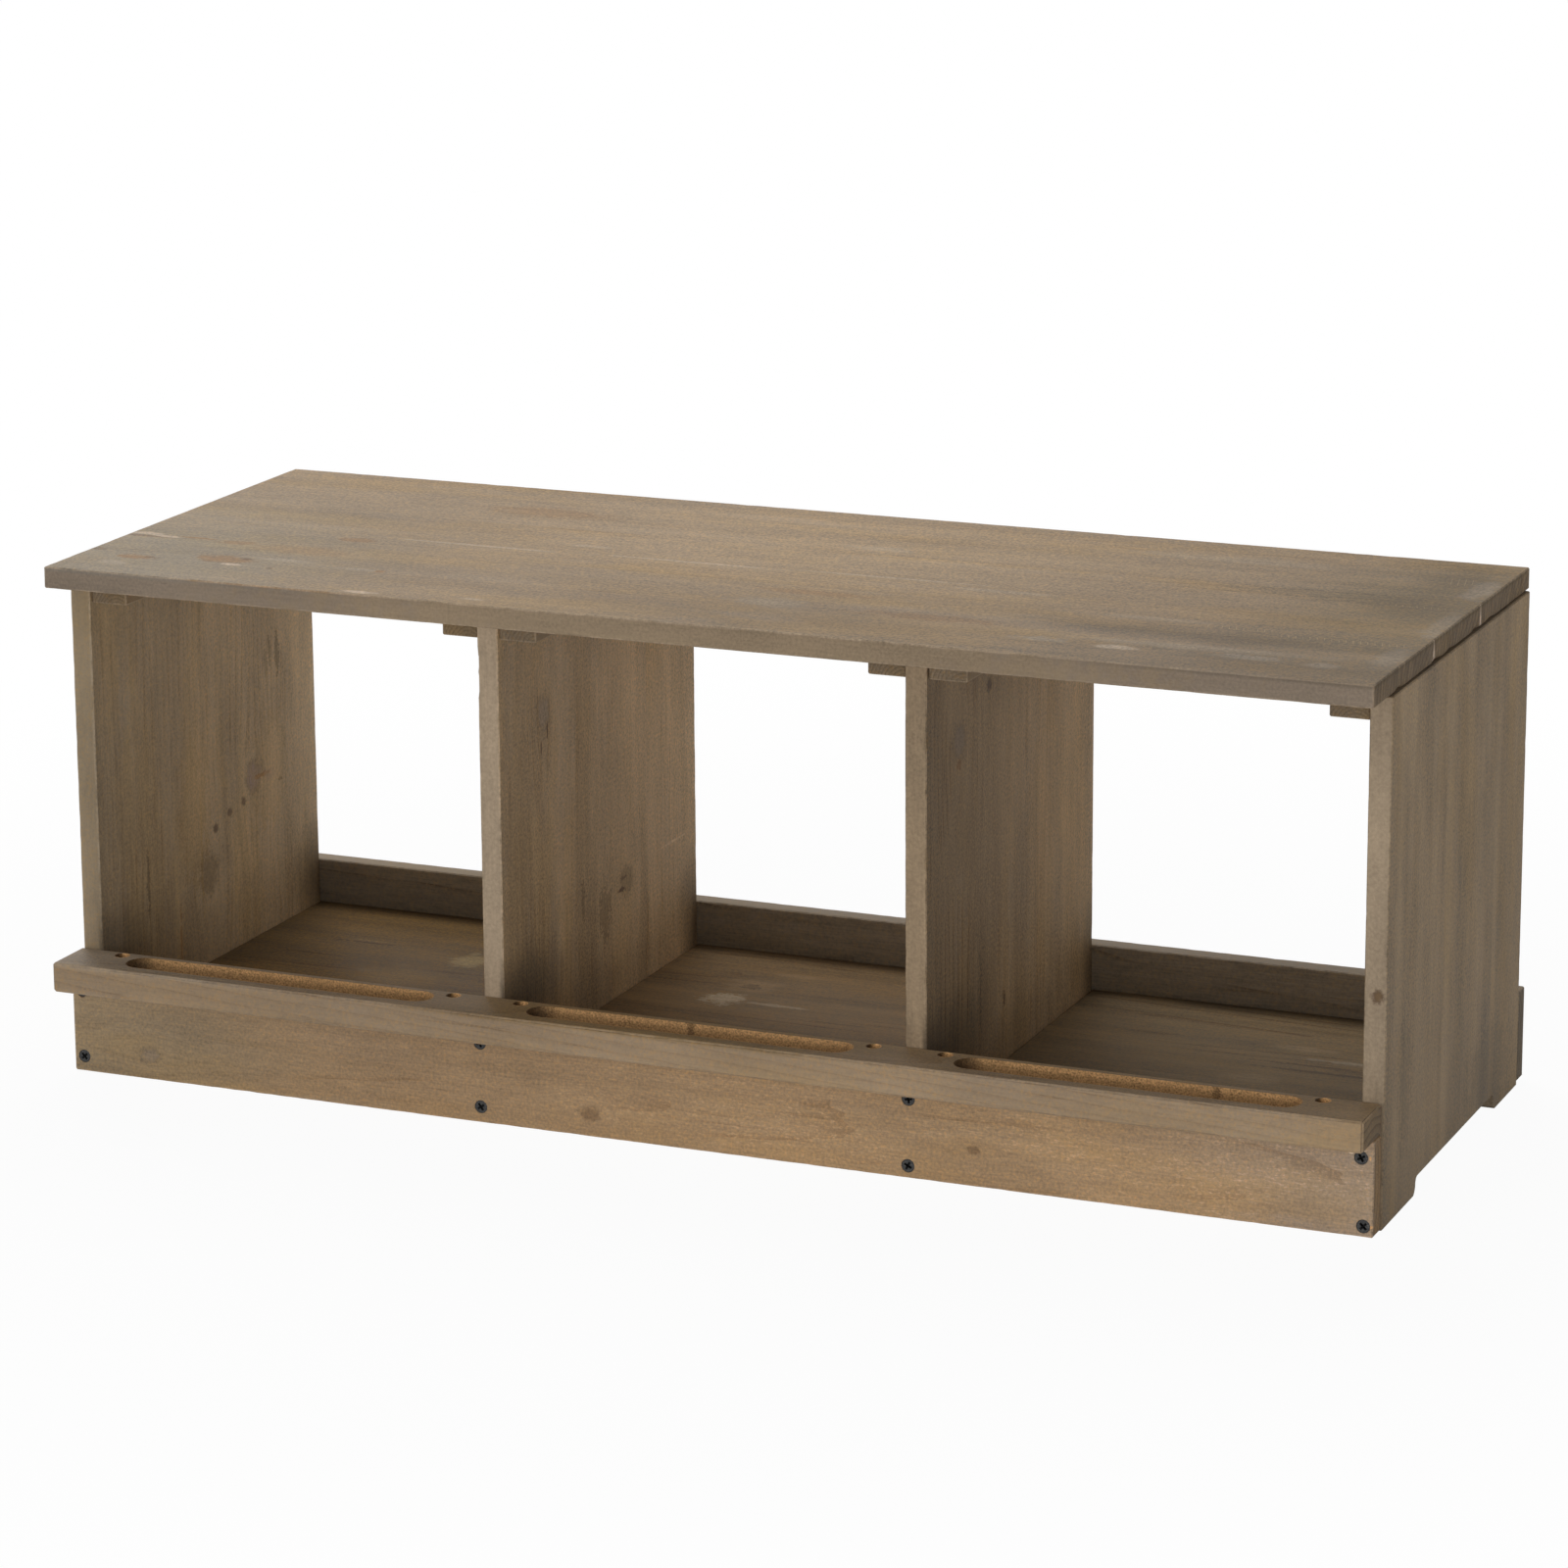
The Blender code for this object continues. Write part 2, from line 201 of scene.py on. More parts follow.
# Four upright boards carry the box: a panel at each end and two dividers between the bays.
# Each is glued up from fir staves, grain upright, planed, and stained a grey brown that sinks in
# unevenly, with light and shade painted on as well. The end panels stand on two feet with a low
# arch sawn between them.
class Board:
    """The axes of a board, along, across and through its grain, and noise laid along that grain."""

    # A face counts as turned along an axis between these two parts of its normal.
    turned_to = (0.55, 0.85)
    stave_shift, swing_along, swing_across, swing = 1.7, 4, 2, 0.7

    def __init__(self, tree, nodes, grain, body, seed, staves, knots):
        self.body, self.seed = body, seed
        self.order = ["xyz".index(letter) for letter in grain]
        boxes = [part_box(node) for node in nodes]
        self.low = [min(box[0][k] for box in boxes) for k in self.order]
        self.high = [max(box[1][k] for box in boxes) for k in self.order]
        middle = [(a + b) / 2 for a, b in zip(self.low, self.high)]
        coordinates = tree.nodes.new("ShaderNodeTexCoord")
        self.place = Wire(tree, coordinates.outputs["Object"])
        self.axes = self.along, self.across, self.through = self.in_grain(self.place)
        self.end_on, self.edge_on, self.face_on = self.in_grain(Wire(tree, coordinates.outputs["Normal"]))
        self.ends = abs(self.end_on).between(*self.turned_to)
        self.faces = abs(self.face_on).between(*self.turned_to)

        # Past each glue joint the rings start again round another heart.
        run, side = self.along, self.across - middle[1]
        for cut, jump in staves:
            past = self.across.math("GREATER_THAN", cut)
            run, side = run + past * self.stave_shift, side + past * jump
        # Grain swings round a knot.
        for knot_along, knot_across, half_along, half_across, _, _ in knots:
            reach = max(half_along, half_across)
            away = self.spread(knot_along, knot_across, reach * self.swing_along, reach * self.swing_across)
            side = side - (self.across - knot_across) * (away * -1).math("EXPONENT") * self.swing
        self.side, self.depth = side, self.through - middle[2]
        self.laid = run.node("ShaderNodeCombineXYZ", None, {0: run, 1: side, 2: self.depth})

        # Planed fibres, the soft clouds of the stain, and two grades of roughness that follow no grain.
        self.fine = self.grained(0.02, 0.0014, 3, 1.3)
        self.cloud = self.grained(0.11, 0.05, 3, 17.9)
        self.swirl = self.place.noise(110, roughness=0.6)
        self.fuzz = self.place.noise(480, roughness=0.6)

    def in_grain(self, vector):
        """The parts of a vector along, across and through the board."""
        parts = vector.parts()
        return [parts[k] for k in self.order]

    def grained(self, length, width, detail, shift):
        """Noise in flecks of about this length and width."""
        at = self.laid.node("ShaderNodeMapping", None, {
            "Vector": self.laid, "Location": (self.seed + shift, shift - self.seed, shift),
            "Scale": (1 / length, 1 / width, 1 / width)})
        return at.noise(1, detail, 0.55)

    def slope(self, axis, ends):
        """A number that runs evenly from one end of the board to the other."""
        run_on = self.axes[axis]
        return run_on.node("ShaderNodeMapRange", None, {
            "Value": run_on, "From Min": self.low[axis], "From Max": self.high[axis],
            "To Min": ends[0], "To Max": ends[1]})

    def spread(self, at_along, at_across, half_along, half_across):
        """The square of how far out in an oval spot a point lies: 0 at its middle, 1 on its rim."""
        return ((self.along - at_along) / half_along) ** 2 + ((self.across - at_across) / half_across) ** 2

    def shade(self, red, green, blue):
        """A share of the board's own colour."""
        return daylight(self.body[0] * red, self.body[1] * green, self.body[2] * blue)


def growth_rings(board, pith, spacing, taper, lined):
    """Saw-toothed rings round the heart, and how clearly they show: in some places, or where lined."""
    wander = board.grained(0.5, 0.12, 1, 3.1)
    waver = board.grained(0.05, 0.012, 2, 4.4)
    heart = ((board.side - pith[0] + wander * 0.04 + waver * 0.004) ** 2
             + (board.depth - pith[1] + board.along * taper + wander * 0.016) ** 2) ** 0.5
    rings = (heart / spacing + board.grained(0.25, 0.02, 2, 5.2) * 0.9).math("FRACT")
    shown = board.grained(0.22, 0.03, 2, 41.3).between(-0.02, 0.14)
    for spot in lined:
        shown = shown.math("MAXIMUM", 1.5 - 1.5 * board.spread(*spot).between(0.3, 1.2))
    return rings, shown


def add_spots(board, colour, tone, height, knots, marked_face, painted_shade_and_tints, marks, chips):
    """Knots, soft ovals of painted shade, light or tint, ragged marks and chips, each at its own place on the
    board.
    """
    swirl, fuzz = board.swirl, board.fuzz
    # A knot is a darker ragged spot with a darker rim.
    for *oval, paint, strength in knots:
        ring = board.spread(*oval) ** 0.5 + swirl * 1.5 + fuzz * 0.5
        core = 1 - ring.between(0.6, 1.15)
        rim = ring.between(0.6, 0.95) * (1 - ring.between(1.0, 1.4))
        colour = colour.over(board.shade(*paint), core * strength)
        tone = tone * (1 - rim * strength * 0.22)
        height = height - rim * 0.5

    # Soft ovals of painted shade and light darken or lighten corners, feet and broad areas by a share of the
    # light, and a colour share tints instead.
    if marks or painted_shade_and_tints:
        on_marked = 1 - abs(board.through - marked_face).between(0.001, 0.004)
    for *oval, share in painted_shade_and_tints:
        spot = (1 - (board.spread(*oval) ** 0.5 + board.cloud * 0.6).between(0.1, 1.0)) * on_marked
        if isinstance(share, tuple):
            colour = colour.node("ShaderNodeMix", {"data_type": "RGBA", "blend_type": "MULTIPLY"},
                                 {0: spot, 6: colour, 7: share + (1,)}, 2)
        else:
            tone = tone * (1 + spot * (share - 1))

    # Stains, scuffs, cracks and smears are ragged spots.
    for *oval, paint, strength in marks:
        spread = board.spread(*oval) ** 0.5 + swirl * 1.2 + board.fine * 1.4 + fuzz * 1.1
        colour = colour.over(board.shade(*paint), (1 - spread.between(0.6, 0.88)) * on_marked * strength)

    # Chips sit on an arris or in a corner, so they have a depth too.
    for centre, halves, paint, strength in chips:
        spread = sum(((part - at) / half) ** 2 for part, at, half in zip(board.axes, centre, halves))
        spot = 1 - (spread ** 0.5 + swirl * 1.2 + fuzz * 0.8).between(0.4, 1.0)
        colour = colour.over(board.shade(*paint), spot * strength)
    return colour, tone, height


def stained_fir(name, nodes, grain, body=(150, 129, 100), seed=0.0, pith=(0.0, -0.05), spacing=0.006,
                taper=0.04, lined=(), lines=0.5, bands=0.5, clouds=0.5, warmth=1.0, grit=1.0,
                staves=(), painted_slope_along=(1, 1), cross=(1, 1), painted_face_light=(1, 1), painted_edge_slope=(1, 1),
                painted_edge_light=(1, 1), edge_cool=0.0, edge_lines=0.15, end_tone=0.6, wear=0.5, speckle=None,
                knots=(), marked_face=None, painted_shade_and_tints=(), marks=(), chips=(), more=None):
    """Stained fir over one board, or a set of boards; grain names its axes along, across and through.
    Places and sizes are in metres, body is a colour, and most other numbers are shares.
    A knot, mark or soft oval of painted shade, light or tint gives its middle along and across, its
    half sizes, then its paint or share, and a knot or mark its strength. A chip has a middle and half sizes
    on all three axes."""
    material = bpy.data.materials.new(name)
    material.use_nodes = True
    tree = material.node_tree
    shader = tree.nodes["Principled BSDF"]
    board = Board(tree, nodes, grain, body, seed, staves, knots)
    shade, fine, fuzz, swirl = board.shade, board.fine, board.fuzz, board.swirl
    ends, faces = board.ends, board.faces

    # The stain lies warmer here and greyer there, in soft drifts along the grain.
    colour = board.place.node("ShaderNodeRGB")
    colour.socket.default_value = daylight(*body)
    warm = (board.grained(0.2, 0.05, 3, 29.3) + swirl * 0.25).between(-0.08, 0.2)
    grey = (board.grained(0.16, 0.04, 3, 23.3) + swirl * 0.25).between(0.0, 0.22)
    colour = colour.over(shade(1 + 0.03 * warmth, 1, 1 - 0.08 * warmth), warm)
    colour = colour.over(shade(0.99, 1, 1.02), grey)

    # It is darker or paler in broad bands and clouds, over a fuzz of planed fibres.
    band = board.grained(0.6, 0.024, 2, 11.5)
    middling = board.grained(0.12, 0.007, 3, 7.9)
    tone = (1 + fuzz * grit * (0.4 + faces * 0.6) + band * bands + board.cloud * clouds + swirl * 0.15
            + (fine * (0.3 + lines * 0.5) + middling * (0.1 + lines * 0.3)) * (0.5 + faces * 0.5))

    # Thin dark late-wood lines wander up the board, with short brown streaks beside them.
    rings, shown = growth_rings(board, pith, spacing, taper, lined)
    late = rings ** 6 * shown
    streaks = board.grained(0.06, 0.0026, 2, 7.7).between(0.07, 0.26) * (0.25 + shown)
    brown = (late * 0.9 + streaks * 0.65) * lines * (edge_lines + faces * (1 - edge_lines))
    colour = colour.over(shade(0.76, 0.69, 0.6), brown)
    colour = colour.over(shade(1.04, 0.97, 0.84), fuzz.between(0.0, 0.16) * 0.6)
    if edge_cool:
        edges = abs(board.edge_on).between(*board.turned_to)
        colour = colour.over(shade(1 - edge_cool * 0.4, 1, 1 + edge_cool), edges)
    dashes = board.grained(0.01, 0.0009, 1, 31.7)
    pores = dashes.between(0.17, 0.3)
    tone = tone * (1 - pores * 0.14) * (1 + (dashes * -1).between(0.19, 0.3) * 0.12)
    height = fine * 0.6 - late * 0.3 - pores * 0.4 + fuzz * 0.7

    # The ends drink more stain. Edges and faces are painted lighter or darker by the way they turn, and
    # slopes along and across the board paint light and shade from end to end.
    tone = tone * (1 - ends * (1 - end_tone + rings ** 3 * 0.25 - fine * 0.5))
    for turned, tones in ((board.edge_on, painted_edge_light), (board.face_on, painted_face_light)):
        for way, share in zip((-1, 1), tones):
            if share != 1:
                tone = tone * (1 + (turned * way).between(*board.turned_to) * (share - 1))
    for axis, tones, where in ((0, painted_slope_along, faces), (1, cross, faces), (0, painted_edge_slope, 1 - faces)):
        if tones != (1, 1):
            tone = tone * (1 + (board.slope(axis, tones) - 1) * where)

    # A glue joint is a hairline.
    for cut, _ in staves:
        joint = 1 - abs(board.across - cut).between(0.0001, 0.0005)
        tone = tone * (1 - joint * 0.12)
        height = height - joint * 0.5

    # Raised fibres that the stain missed catch the light as pale speckles.
    if speckle:
        raised = board.grained(0.004, 0.0014, 2, 51.7).between(0.03, 0.22)
        raised = raised * (board.cloud + band * 0.6 + board.slope(1, (-0.1, 0.1))).between(-0.2, 0.14)
        raised = raised * board.slope(0, speckle)
        colour = colour.over(shade(1.2, 1.2, 1.2), raised)
        height = height + raised * 0.6

    colour, tone, height = add_spots(board, colour, tone, height, knots, marked_face, painted_shade_and_tints, marks, chips)

    # Arrises rub pale.
    insets = [(part - a).math("MINIMUM", b - part) for part, a, b in zip(board.axes, board.low, board.high)]
    inner = insets[0].math("MAXIMUM", insets[1]).math("MINIMUM", insets[2])
    arris = insets[0].math("MINIMUM", insets[1]).math("MAXIMUM", inner)
    rubbed = (1 - arris.between(0.0003, 0.0016)) * (swirl + fine + 0.1).between(-0.1, 0.2) * wear
    colour = colour.over(shade(1.28, 1.3, 1.36), rubbed)

    if more:
        colour, tone, height = more(board, colour, tone, height)
    painted = colour.node("ShaderNodeVectorMath", {"operation": "SCALE"}, {0: colour, "Scale": tone})
    tree.links.new(painted.socket, shader.inputs["Base Color"])
    tree.links.new((0.7 + fine * 0.3 + fuzz * 0.2 + ends * 0.15).socket, shader.inputs["Roughness"])
    shader.inputs["Specular IOR Level"].default_value = 0.25
    bump = height.node("ShaderNodeBump", None, {"Height": height, "Strength": 0.4, "Distance": 0.0006})
    tree.links.new(bump.socket, shader.inputs["Normal"])
    return material


def worn_board(name, node, grain, material, rub=0.00025, step=0.006, end_step=None, nicks=()):
    """The board as it comes off the bench: its arrises rubbed a little unevenly, with nicks.
    A nick has a middle, a reach and a depth."""
    weld, snap, cut_inset, arris_reach = 0.00001, 0.000001, 0.003, 0.001
    long_waves, short_waves, short_share = 90, 310, 0.6
    low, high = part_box(node)
    shape = bmesh.new()
    shape.from_mesh(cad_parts[node].data)
    bmesh.ops.remove_doubles(shape, verts=shape.verts, dist=weld)

    # Cuts beside each arris and at even steps give the faces points enough to be rubbed.
    along, *sideways = ["xyz".index(letter) for letter in grain]
    cuts = [(axis, end + way * cut_inset)
            for axis in sideways for end, way in ((low[axis], 1), (high[axis], -1))]
    for axis, pitch in ((along, step), (sideways[0], end_step)):
        if pitch:
            last = math.ceil((high[axis] - low[axis]) / pitch)
            cuts += [(axis, low[axis] + pitch * k) for k in range(1, last)]
    for axis, position in cuts:
        square_on = Vector((0, 0, 0))
        square_on[axis] = 1
        bmesh.ops.bisect_plane(shape, geom=shape.verts[:] + shape.edges[:] + shape.faces[:], dist=snap,
                               plane_co=square_on * position, plane_no=square_on)

    # Points near two faces or more are on an arris, and move in from each.
    for vertex in shape.verts:
        inward = Vector((0, 0, 0))
        for axis in range(3):
            if min(vertex.co[axis] - low[axis], high[axis] - vertex.co[axis]) < arris_reach:
                inward[axis] = math.copysign(1, (low[axis] + high[axis]) / 2 - vertex.co[axis])
        faces_near = sum(abs(part) for part in inward)
        if faces_near < 2:
            continue
        waves = noise.noise(vertex.co * long_waves) + noise.noise(vertex.co * short_waves) * short_share
        depth = rub * max(0.0, waves)
        for centre, reach, deepest in nicks:
            depth += deepest * max(0.0, 1 - (vertex.co - Vector(centre)).length / reach)
        vertex.co += inward * depth
    piece = bpy.data.objects.new(name, bpy.data.meshes.new(name))
    shape.to_mesh(piece.data)
    shape.free()
    bpy.context.scene.collection.objects.link(piece)
    piece.data.materials.append(material)
    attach(piece, "root")
    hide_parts(node)


# Paints are shares of the board's own colour.
dark_knot, rosy_knot, dusk = (0.56, 0.5, 0.47), (0.84, 0.82, 0.92), (0.74, 0.73, 0.7)
rust, ash, amber, chalk = (0.86, 0.68, 0.5), (0.88, 0.91, 1.0), (1.03, 0.98, 0.86), (1.3, 1.32, 1.38)
upright_front, left_divider_left, right_divider_right = -0.1494, -0.16095, 0.16245

worn_board("left_side_board", "left_side_panel", "zyx", stained_fir(
    "left_side_stain", ["left_side_panel"], "zyx", body=(176, 156, 128), seed=1.0,
    warmth=0.7, bands=0.7, clouds=0.7, grit=1.2,
    # Painted light and shade: darker toward the front and the foot, lighter toward the back, and darker
    # edges.
    painted_edge_light=(0.76, 0.9), painted_slope_along=(0.94, 1.04), cross=(0.84, 1.36), staves=[(-0.045, -0.1), (0.07, -0.11)],
    lined=[(0.22, 0.085, 0.05, 0.06), (0.1, -0.1, 0.06, 0.03)],
    knots=[(0.157, 0.077, 0.011, 0.011, rosy_knot, 0.8), (0.1419, 0.0606, 0.0036, 0.0036, dark_knot, 0.75),
           (0.1381, 0.0396, 0.0034, 0.0036, dark_knot, 0.7), (0.1318, 0.0172, 0.0034, 0.0034, dark_knot, 0.8),
           (0.1005, 0.0067, 0.014, 0.012, dusk, 0.6)],
    marked_face=-0.4588, marks=[
        (0.1545, 0.092, 0.0022, 0.016, rust, 0.9), (0.153, 0.101, 0.006, 0.012, rosy_knot, 0.5),
        (0.145, 0.118, 0.0018, 0.004, dark_knot, 0.7), (0.24, 0.118, 0.02, 0.004, dusk, 0.8),
        (0.245, 0.106, 0.016, 0.003, dusk, 0.7), (0.235, 0.1, 0.02, 0.003, dusk, 0.5),
        (0.115, -0.082, 0.03, 0.003, dusk, 0.8), (0.128, -0.004, 0.06, 0.0016, amber, 0.7),
        (0.06, -0.038, 0.03, 0.002, rust, 0.5), (0.15, -0.014, 0.07, 0.026, amber, 0.5),
        (0.155, 0.1, 0.05, 0.035, amber, 0.4)],
    # Painted shadow in the rear bottom corner, at the foot behind the perch and along the foot.
    painted_shade_and_tints=[(0.055, 0.185, 0.06, 0.06, 0.3), (0.08, -0.14, 0.045, 0.13, 0.56),
            (0.05, 0.02, 0.03, 0.12, 0.96)]))
worn_board("left_divider_board", "left_divider", "zyx", stained_fir(
    "left_divider_stain", ["left_divider"], "zyx", body=(181, 157, 126), seed=2.0,
    edge_cool=0.05, warmth=0.5, bands=0.6, clouds=0.6, grit=1.7,
    # Painted light and shade: darker toward the front and the foot, lighter toward the back, and darker
    # edges.
    painted_edge_light=(0.92, 0.9), painted_slope_along=(0.92, 1.04), cross=(0.88, 1.34), staves=[(-0.03, -0.1), (0.09, -0.11)],
    lined=[(0.1, -0.1, 0.06, 0.03), (0.25, -0.09, 0.04, 0.03)],
    knots=[(0.269, -0.08, 0.013, 0.009, ash, 0.6), (0.116, 0.052, 0.01, 0.01, dusk, 0.6)],
    marked_face=-0.146, marks=[
        (0.256, -0.074, 0.009, 0.0016, dark_knot, 0.95), (0.246, -0.084, 0.006, 0.0014, dark_knot, 0.8),
        (0.111, 0.043, 0.0022, 0.009, dark_knot, 0.9), (0.119, 0.049, 0.0018, 0.007, dark_knot, 0.7),
        (0.103, 0.0155, 0.024, 0.013, dusk, 0.6), (0.12, -0.02, 0.02, 0.004, dusk, 0.6),
        (0.124, 0.135, 0.0012, 0.032, chalk, 0.45)],
    # Painted shadow in the rear bottom corner, at the foot behind the perch and along the foot.
    painted_shade_and_tints=[(0.055, 0.185, 0.07, 0.05, 0.24), (0.08, -0.14, 0.045, 0.14, 0.35),
            (0.05, 0.02, 0.03, 0.12, 0.82)]),
    nicks=[((left_divider_left, upright_front, 0.318), 0.007, 0.0014),
           ((left_divider_left, upright_front, 0.304), 0.008, 0.0012)])
worn_board("right_divider_board", "right_divider", "zyx", stained_fir(
    "right_divider_stain", ["right_divider"], "zyx", body=(163, 140, 111), seed=3.0,
    edge_cool=0.02, warmth=0.6, spacing=0.008, lines=0.8, bands=0.6, clouds=0.7, grit=1.9,
    # Painted light and shade: darker toward the front and the foot, lighter toward the back, and a darker
    # back edge.
    painted_edge_light=(1.0, 0.9), painted_slope_along=(0.88, 1.04), cross=(0.66, 1.46), staves=[(-0.055, -0.1), (0.06, -0.11)],
    lined=[(0.12, -0.095, 0.06, 0.04), (0.26, -0.12, 0.05, 0.02)],
    knots=[(0.28, -0.09, 0.012, 0.011, ash, 0.7), (0.306, -0.033, 0.0045, 0.006, dark_knot, 0.75)],
    marked_face=right_divider_right, marks=[
        (0.264, -0.09, 0.006, 0.006, rust, 0.5), (0.079, -0.0035, 0.007, 0.002, dark_knot, 0.8),
        (0.16, 0.06, 0.1, 0.03, amber, 0.3)],
    # Painted shadow in the rear bottom corner, at the foot behind the perch and along the foot.
    painted_shade_and_tints=[(0.055, 0.185, 0.08, 0.06, 0.36), (0.08, -0.14, 0.045, 0.14, 0.4),
            (0.05, 0.02, 0.03, 0.12, 0.88)]),
    nicks=[((right_divider_right, upright_front, height), 0.005, 0.0012) for height in (0.2929, 0.212, 0.13)])

# A brown knot sits in the front edge of the right panel.
edge_knot, edge_knot_core = (0.1557, upright_front, 0.4699), (0.75, 0.7, 0.64)
worn_board("right_side_board", "right_side_panel", "zyx", rub=0.0002, material=stained_fir(
    "right_side_stain", ["right_side_panel"], "zyx", body=(143, 124, 99), seed=4.0,
    edge_cool=0.05, wear=0.2, lines=0.35, bands=0.9, clouds=0.9, grit=1.7,
    # Painted light and shade: the front edge much lighter, the back edge a little, and darker toward the
    # foot.
    painted_edge_light=(1.46, 1.1), painted_slope_along=(0.84, 1.08), staves=[(-0.02, -0.1), (0.1, -0.11)],
    marked_face=0.47525, marks=[(0.087, -0.105, 0.06, 0.02, dusk, 0.4), (0.03, 0.1, 0.05, 0.07, dusk, 0.4)],
    chips=[(edge_knot, (0.0075, 0.003, 0.0055), dark_knot, 0.9),
           (edge_knot, (0.0045, 0.002, 0.003), edge_knot_core, 0.8)]))


# A floor board lies in each bay on two cleats, one along its front and one along its back.
# The boards are rough sawn offcuts, scuffed pale where the birds will scratch.
worn_away, crack = (1.45, 1.6, 1.92), (0.6, 0.55, 0.5)
floor_top, coarse_step = 0.0349, 0.012


def lay_floor(bay, seed, body, middle_x, grit, painted_corner_shade, scuffs):
    """One bay's floor and its cleats, with painted shadow along its back under the rail and, by a share, at
    its left by the wall.
    """
    worn_board(bay + "_floor_board", bay + "_floor", "xyz", stained_fir(
        bay + "_floor_stain", [bay + "_floor"], "xyz", body=body, seed=seed,
        warmth=0.6, lines=1.2, bands=0.9, clouds=0.6, grit=grit,
        # Painted light and shade: lighter at the front of the bay and darker at the back.
        cross=(1.1, 0.95), staves=[(0.01, -0.1)], marked_face=floor_top, marks=scuffs,
        # Painted shadow along the back under the rail and at the left by the wall.
        painted_shade_and_tints=[(middle_x, 0.178, 0.4, 0.03, 0.45), (middle_x - 0.16, 0.08, 0.08, 0.2, painted_corner_shade)]),
        step=coarse_step)
    cleat_stain = stained_fir(bay + "_cleat_stain", [bay + "_floor_front_cleat", bay + "_floor_back_cleat"],
                              "xyz", seed=seed + 20, lines=0.8)
    for end in ("front", "back"):
        worn_board("%s_%s_cleat_strip" % (bay, end), "%s_floor_%s_cleat" % (bay, end), "xyz",
                   cleat_stain, step=coarse_step)


lay_floor("left", 6.0, (107, 84, 48), -0.31, 2.2, 0.6, [
    (-0.282, 0.074, 0.018, 0.02, worn_away, 0.7), (-0.315, 0.02, 0.045, 0.03, chalk, 0.4),
    (-0.375, 0.088, 0.03, 0.002, crack, 0.9), (-0.37, 0.093, 0.024, 0.0024, chalk, 0.7),
    (-0.4, 0.05, 0.03, 0.002, crack, 0.7)])
lay_floor("middle", 7.0, (126, 103, 72), 0.0, 1.3, 0.85, [
    (-0.073, 0.056, 0.02, 0.018, worn_away, 0.8), (-0.066, 0.092, 0.024, 0.02, chalk, 0.5),
    (-0.066, 0.09, 0.01, 0.008, crack, 0.4), (-0.03, 0.054, 0.03, 0.004, worn_away, 0.6),
    (-0.045, 0.125, 0.02, 0.008, chalk, 0.3), (0.02, 0.03, 0.03, 0.002, crack, 0.5)])
lay_floor("right", 8.0, (123, 104, 76), 0.31, 1.3, 0.88, [
    (0.345, 0.095, 0.03, 0.007, chalk, 0.6), (0.385, 0.075, 0.04, 0.004, worn_away, 0.4),
    (0.37, 0.06, 0.06, 0.003, crack, 0.6), (0.38, 0.048, 0.05, 0.003, crack, 0.6),
    (0.33, 0.02, 0.03, 0.012, chalk, 0.4)])


# The back rail is a narrow fir board set on edge across the uprights' rear edges, low down.
# It is planed and stained like them, ties them together, and keeps the straw in.
pale_fleck = (1.7, 1.7, 1.7)
worn_board("back_rail_board", "back_rail", "xzy", stained_fir(
    "back_rail_stain", ["back_rail"], "xzy", body=(133, 120, 103), seed=9.0,
    # Painted light and shade: darker toward the left end and toward the bottom.
    warmth=0.6, lines=0.9, bands=0.7, grit=0.9, painted_slope_along=(0.66, 1.16), cross=(0.62, 1.2),
    marked_face=0.1759, marks=[(0.067, 0.052, 0.002, 0.002, pale_fleck, 1.0)]))


# The front board, a warmer piece of fir, is screwed across the uprights' front edges. It is
# planed and stained, rough with raised fibres, and raw wood shows where its corners chipped.
raw_fir, split_fir = (1.36, 1.25, 1.08), (1.44, 1.54, 1.68)
plank_face, chip_depth = -0.1647, 0.003
worn_board("front_plank", "front_board", "xzy", stained_fir(
    "front_board_stain", ["front_board"], "xzy", body=(180, 151, 118), seed=10.0,
    # Painted shade: darker toward the left end.
    lines=0.5, bands=0.45, warmth=0.8, grit=1.1, speckle=(0.15, 0.8), painted_slope_along=(0.86, 1.12),
    marked_face=plank_face, painted_shade_and_tints=[
        (-0.47, 0.03, 0.24, 0.2, (0.9, 0.99, 1.06)), (0.48, 0.03, 0.2, 0.2, (0.88, 0.97, 1.2))],
    knots=[
        (-0.4149, 0.017, 0.008, 0.005, ash, 0.5), (-0.0754, 0.0158, 0.008, 0.005, dark_knot, 0.5),
        (0.2016, 0.0252, 0.005, 0.003, dark_knot, 0.5)],
    chips=[((0.4728, 0.0073, plank_face), (0.0022, 0.0014, chip_depth), raw_fir, 1.0),
           ((0.4712, 0.0531, plank_face), (0.0012, 0.0022, chip_depth), raw_fir, 0.7),
           ((0.4585, 0.0558, plank_face), (0.0025, 0.0012, chip_depth), split_fir, 0.9),
           ((-0.468, 0.0546, plank_face), (0.0026, 0.0016, chip_depth), dark_knot, 0.8)]))


# The perch rail lies on top of it for the hens to land on. Three long slots were routed
# through it and six screw holes bored, after staining, so their walls are raw and fuzzy.
slot_middle, slot_step, slot_y, slot_straight, slot_radius = -0.00075, 0.3087, -0.168, 0.106, 0.012
hole_offset, hole_y, hole_radius, hole_margin = 0.129, -0.1572, 0.005, 0.003
raw_wood, raw_reach, ragged = (1.12, 1.01, 0.84), (0.0002, 0.0006), 0.0012
slot_dusk, slot_rise, hole_dusk = (-0.012, 0.008), (0.0805, 0.084), (-0.0045, 0.0)
cut_knots, cut_knot_reach, cut_knot_ragged = (-0.004, 0.3655), (0.0008, 0.004), 0.003


